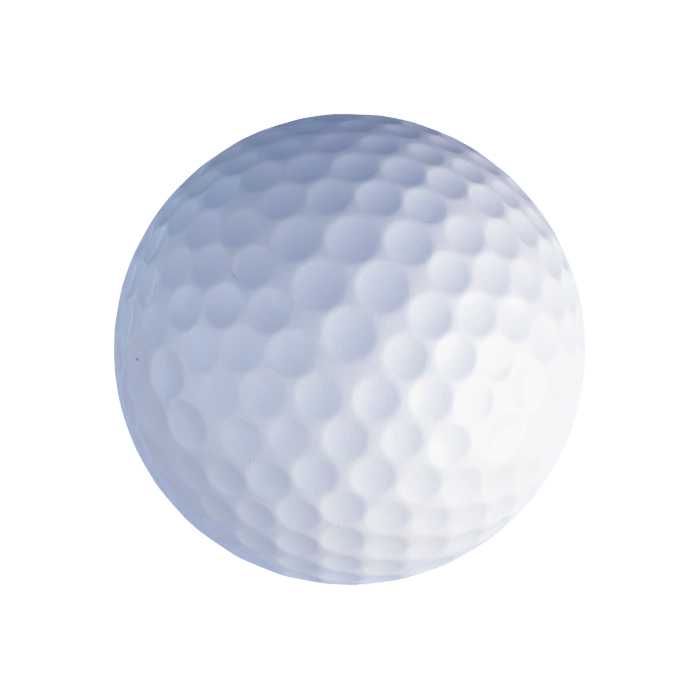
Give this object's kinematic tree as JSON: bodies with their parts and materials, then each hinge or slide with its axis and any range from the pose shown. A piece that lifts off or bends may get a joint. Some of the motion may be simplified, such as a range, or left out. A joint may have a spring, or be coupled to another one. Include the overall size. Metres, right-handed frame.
{
  "type": "golf ball",
  "caption": "White dimpled golf ball: soft cover halves over a mantle, a cup-shaped outer core and a solid inner core.",
  "frame": {"origin": "centre of the ball", "axes": "+Z through the dimple at one mould pole, the parting plane is Z = 0, and -Y is the middle of the dimple sector that the picture shows"},
  "size_m": [0.0426, 0.0426, 0.0426],
  "materials": {
    "cover": "white urethane under clear lacquer, glossy",
    "mantle": "moulded ionomer, smooth and slightly milky",
    "outer_core": "ground polybutadiene rubber, matte",
    "inner_core": "moulded polybutadiene rubber, matte"
  },
  "bodies": {
    "root": {"cover_upper": "cover", "cover_lower": "cover", "mantle_right": "mantle", "mantle_left": "mantle", "outer_core_front": "outer_core", "outer_core_back": "outer_core", "inner_core": "inner_core"}
  },
  "joints": []
}
